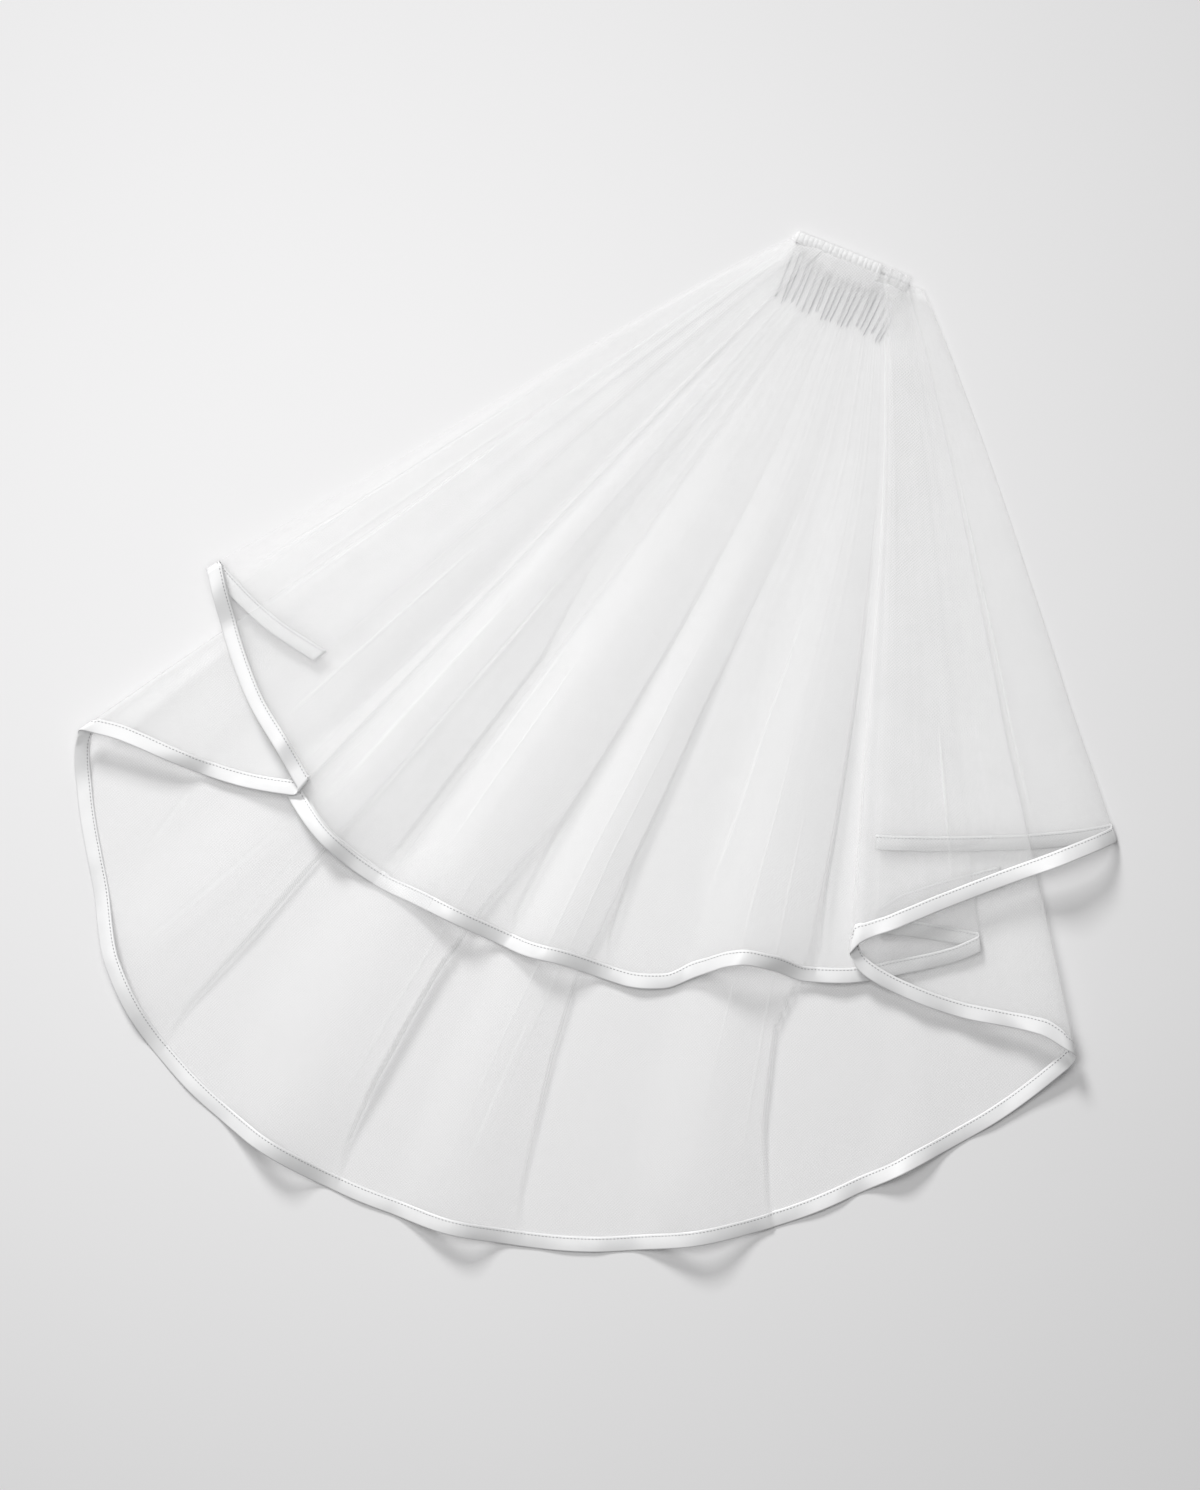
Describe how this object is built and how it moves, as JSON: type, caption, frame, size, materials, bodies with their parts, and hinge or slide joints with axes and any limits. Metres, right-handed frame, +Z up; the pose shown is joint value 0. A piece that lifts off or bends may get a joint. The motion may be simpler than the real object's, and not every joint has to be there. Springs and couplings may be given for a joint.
{
  "type": "bridal veil",
  "caption": "Two-tier tulle bridal veil laid out flat in a fan, its tiers gathered into a shirred heading on a wire comb and their hems bound with satin ribbon",
  "frame": {"origin": "middle of the bottom of the laid-out veil's bounding box, on the surface it rests on", "axes": "+Z up from the surface, -Y along the veil from the comb to the hem, +X across toward the side whose flap is shorter"},
  "size_m": [0.8104, 0.8243, 0.0271],
  "materials": {
    "tulle": "fine white net, see-through, slightly crisp",
    "satin_ribbon": "white satin with a soft sheen",
    "comb_wire": "bright plated wire"
  },
  "bodies": {
    "root": {"lower_tier": "tulle", "upper_tier": "tulle", "heading": "tulle", "lower_binding": "satin_ribbon", "upper_binding": "satin_ribbon", "comb": "comb_wire"}
  },
  "joints": []
}
